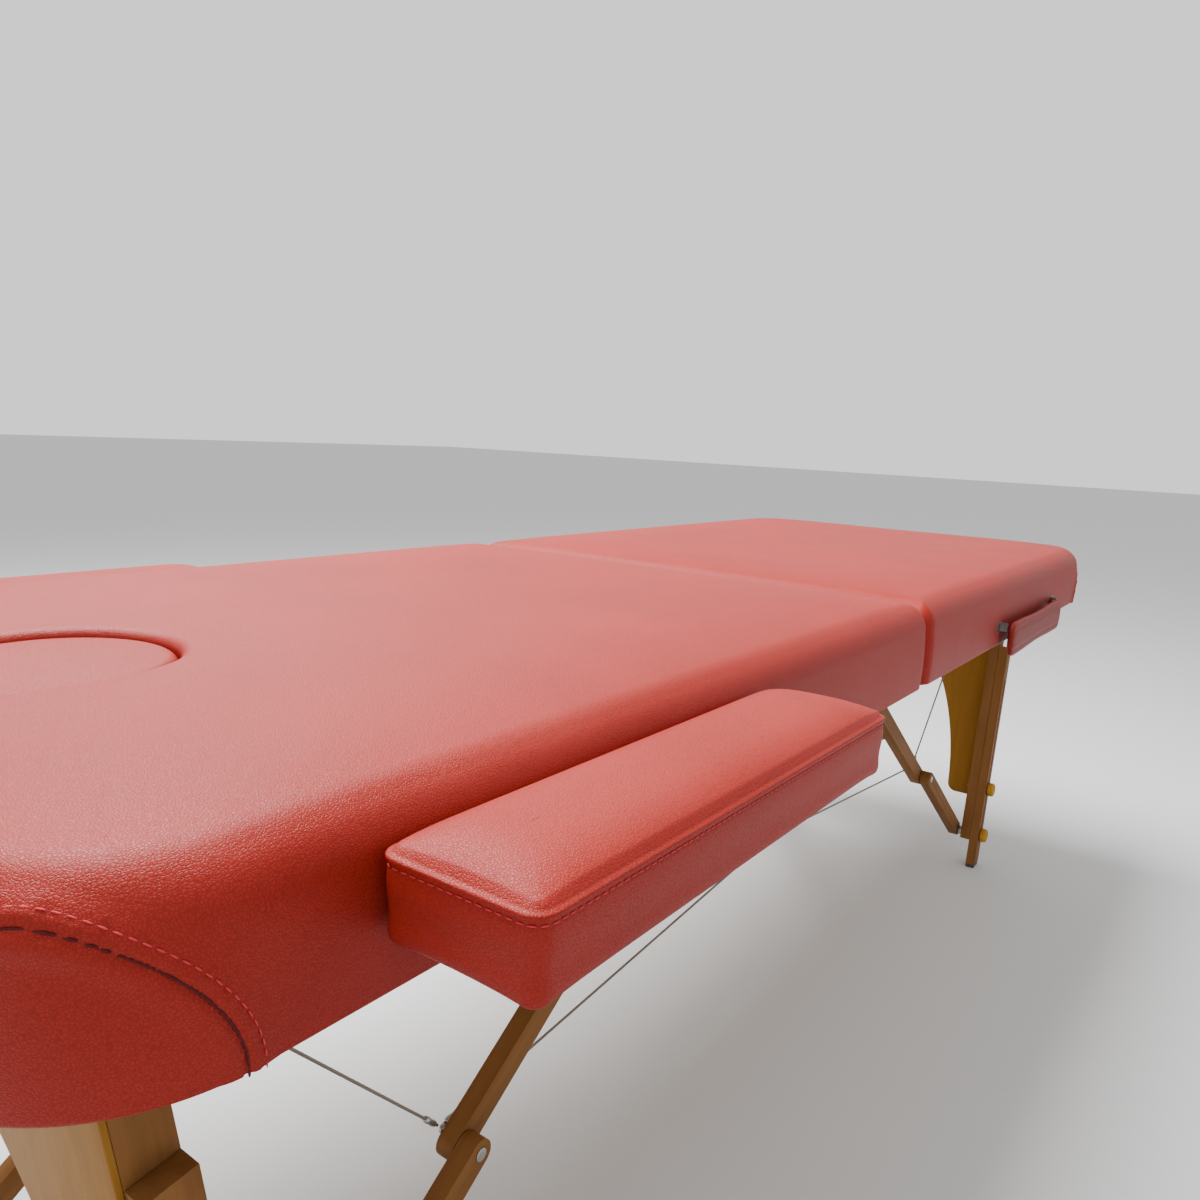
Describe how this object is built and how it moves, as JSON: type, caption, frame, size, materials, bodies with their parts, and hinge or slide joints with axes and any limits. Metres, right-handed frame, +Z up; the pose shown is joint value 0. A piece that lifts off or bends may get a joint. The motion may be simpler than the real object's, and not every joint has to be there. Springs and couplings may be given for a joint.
{
  "type": "portable massage table",
  "caption": "Folding portable massage table: padded two-section top with face plug and slide-in armrests on cable-braced wooden leg frames",
  "frame": {"origin": "on the floor under the middle of the seam between the two sections", "axes": "+X towards the foot end, +Y towards the left armrest, +Z up"},
  "size_m": [1.95, 0.8972, 0.628],
  "materials": {
    "vinyl": "deep red grained vinyl, satin",
    "foam": "soft upholstery foam",
    "deck_plywood": "plain plywood",
    "frame_wood": "lacquered beech",
    "panel_plywood": "lacquered golden plywood",
    "knob_wood": "yellow lacquered knob",
    "steel": "zinc plated",
    "cable": "coated wire rope",
    "rubber": "matt"
  },
  "bodies": {
    "head": {"head_cover": "vinyl", "head_foam": "foam", "head_deck": "deck_plywood", "head_side_rails": "frame_wood", "head_hinge_rail": "frame_wood", "head_end_rail": "frame_wood", "head_leg_axle": "steel", "head_brace_brackets": "steel", "head_hinge_leaf": "steel", "hinge_pin": "steel", "head_truss_cables": "cable"},
    "foot": {"foot_cover": "vinyl", "foot_foam": "foam", "foot_deck": "deck_plywood", "foot_side_rails": "frame_wood", "foot_hinge_rail": "frame_wood", "foot_end_rail": "frame_wood", "foot_leg_axle": "steel", "foot_brace_brackets": "steel", "foot_hinge_leaf": "steel", "handle_mounts": "steel", "foot_truss_cables": "cable"},
    "head_legs": {"head_leg_mains": "frame_wood", "head_leg_panel": "panel_plywood", "head_leg_bolts": "steel"},
    "head_uppers": {"head_upper_braces": "frame_wood", "head_knee_plates": "steel"},
    "head_lowers": {"head_lower_braces": "frame_wood", "head_knee_bolts": "steel"},
    "head_left_leg_extension": {"head_left_extension": "frame_wood", "head_left_rubber_foot": "rubber"},
    "head_left_lower_knob": {"head_left_lower_knob": "knob_wood"},
    "head_left_upper_knob": {"head_left_upper_knob": "knob_wood"},
    "head_right_leg_extension": {"head_right_extension": "frame_wood", "head_right_rubber_foot": "rubber"},
    "head_right_lower_knob": {"head_right_lower_knob": "knob_wood"},
    "head_right_upper_knob": {"head_right_upper_knob": "knob_wood"},
    "foot_legs": {"foot_leg_mains": "frame_wood", "foot_leg_panel": "panel_plywood", "foot_leg_bolts": "steel"},
    "foot_uppers": {"foot_upper_braces": "frame_wood", "foot_knee_plates": "steel"},
    "foot_lowers": {"foot_lower_braces": "frame_wood", "foot_knee_bolts": "steel"},
    "foot_left_leg_extension": {"foot_left_extension": "frame_wood", "foot_left_rubber_foot": "rubber"},
    "foot_left_lower_knob": {"foot_left_lower_knob": "knob_wood"},
    "foot_left_upper_knob": {"foot_left_upper_knob": "knob_wood"},
    "foot_right_leg_extension": {"foot_right_extension": "frame_wood", "foot_right_rubber_foot": "rubber"},
    "foot_right_lower_knob": {"foot_right_lower_knob": "knob_wood"},
    "foot_right_upper_knob": {"foot_right_upper_knob": "knob_wood"},
    "left_armrest": {"left_armrest_base": "frame_wood", "left_armrest_pad": "vinyl"},
    "right_armrest": {"right_armrest_base": "frame_wood", "right_armrest_pad": "vinyl"},
    "face_plug": {"face_plug_board": "deck_plywood", "face_plug_pad": "vinyl"},
    "carry_handle": {"carry_handle": "vinyl"}
  },
  "joints": [
    {"name": "centre_fold", "type": "hinge", "parent": "head", "child": "foot", "pos_m": [0, 0, 0.524], "axis": [0, 1, 0], "range_deg": [0, 180], "deforming": ["head_truss_cables", "foot_truss_cables"]},
    {"name": "head_leg_fold", "type": "hinge", "parent": "head", "child": "head_legs", "pos_m": [-0.89, 0, 0.548], "axis": [0, -1, 0], "range_deg": [0, 81.28]},
    {"name": "head_upper_brace_fold", "type": "hinge", "parent": "head", "child": "head_uppers", "pos_m": [-0.135, 0, 0.546], "axis": [0, 1, 0], "range_deg": [0, 36.97]},
    {"name": "head_lower_brace_fold", "type": "hinge", "parent": "head_legs", "child": "head_lowers", "pos_m": [-0.81107, 0, 0.062], "axis": [0, -1, 0], "range_deg": [0, 61.75]},
    {"name": "head_left_height", "type": "slide", "parent": "head_legs", "child": "head_left_leg_extension", "axis": [0.1603, 0, -0.9871], "range_m": [0, 0.21]},
    {"name": "head_left_lower_knob_turn", "type": "hinge", "parent": "head_legs", "child": "head_left_lower_knob", "pos_m": [-0.81107, 0, 0.062], "axis": [0, 1, 0], "continuous": true},
    {"name": "head_left_upper_knob_turn", "type": "hinge", "parent": "head_legs", "child": "head_left_upper_knob", "pos_m": [-0.82569, 0, 0.152], "axis": [0, 1, 0], "continuous": true},
    {"name": "head_right_height", "type": "slide", "parent": "head_legs", "child": "head_right_leg_extension", "axis": [0.1603, 0, -0.9871], "range_m": [0, 0.21]},
    {"name": "head_right_lower_knob_turn", "type": "hinge", "parent": "head_legs", "child": "head_right_lower_knob", "pos_m": [-0.81107, 0, 0.062], "axis": [0, -1, 0], "continuous": true},
    {"name": "head_right_upper_knob_turn", "type": "hinge", "parent": "head_legs", "child": "head_right_upper_knob", "pos_m": [-0.82569, 0, 0.152], "axis": [0, -1, 0], "continuous": true},
    {"name": "foot_leg_fold", "type": "hinge", "parent": "foot", "child": "foot_legs", "pos_m": [0.89, 0, 0.548], "axis": [0, 1, 0], "range_deg": [0, 81.28]},
    {"name": "foot_upper_brace_fold", "type": "hinge", "parent": "foot", "child": "foot_uppers", "pos_m": [0.135, 0, 0.546], "axis": [0, -1, 0], "range_deg": [0, 36.97]},
    {"name": "foot_lower_brace_fold", "type": "hinge", "parent": "foot_legs", "child": "foot_lowers", "pos_m": [0.81107, 0, 0.062], "axis": [0, 1, 0], "range_deg": [0, 61.75]},
    {"name": "foot_left_height", "type": "slide", "parent": "foot_legs", "child": "foot_left_leg_extension", "axis": [-0.1603, 0, -0.9871], "range_m": [0, 0.21]},
    {"name": "foot_left_lower_knob_turn", "type": "hinge", "parent": "foot_legs", "child": "foot_left_lower_knob", "pos_m": [0.81107, 0, 0.062], "axis": [0, 1, 0], "continuous": true},
    {"name": "foot_left_upper_knob_turn", "type": "hinge", "parent": "foot_legs", "child": "foot_left_upper_knob", "pos_m": [0.82569, 0, 0.152], "axis": [0, 1, 0], "continuous": true},
    {"name": "foot_right_height", "type": "slide", "parent": "foot_legs", "child": "foot_right_leg_extension", "axis": [-0.1603, 0, -0.9871], "range_m": [0, 0.21]},
    {"name": "foot_right_lower_knob_turn", "type": "hinge", "parent": "foot_legs", "child": "foot_right_lower_knob", "pos_m": [0.81107, 0, 0.062], "axis": [0, -1, 0], "continuous": true},
    {"name": "foot_right_upper_knob_turn", "type": "hinge", "parent": "foot_legs", "child": "foot_right_upper_knob", "pos_m": [0.82569, 0, 0.152], "axis": [0, -1, 0], "continuous": true},
    {"name": "left_armrest_slide", "type": "slide", "parent": "head", "child": "left_armrest", "axis": [0, 1, 0], "range_m": [0, 0.06]},
    {"name": "right_armrest_slide", "type": "slide", "parent": "head", "child": "right_armrest", "axis": [0, -1, 0], "range_m": [0, 0.06]},
    {"name": "face_plug_lift", "type": "slide", "parent": "head", "child": "face_plug", "axis": [0, 0, 1], "range_m": [0, 0.08]},
    {"name": "carry_handle_swing", "type": "hinge", "parent": "foot", "child": "carry_handle", "pos_m": [0.4975, -0.356, 0.558], "axis": [1, 0, 0], "range_deg": [-60, 0]}
  ],
  "couplings": [
    {"joint": "head_leg_fold", "follows": "centre_fold", "ratio": 0.45153},
    {"joint": "head_upper_brace_fold", "follows": "centre_fold", "ratio": 0.2054},
    {"joint": "head_lower_brace_fold", "follows": "centre_fold", "ratio": 0.34307},
    {"joint": "head_right_height", "follows": "head_left_height", "ratio": 1},
    {"joint": "foot_leg_fold", "follows": "centre_fold", "ratio": 0.45153},
    {"joint": "foot_upper_brace_fold", "follows": "centre_fold", "ratio": 0.2054},
    {"joint": "foot_lower_brace_fold", "follows": "centre_fold", "ratio": 0.34307},
    {"joint": "foot_left_height", "follows": "head_left_height", "ratio": 1},
    {"joint": "foot_right_height", "follows": "head_left_height", "ratio": 1}
  ]
}
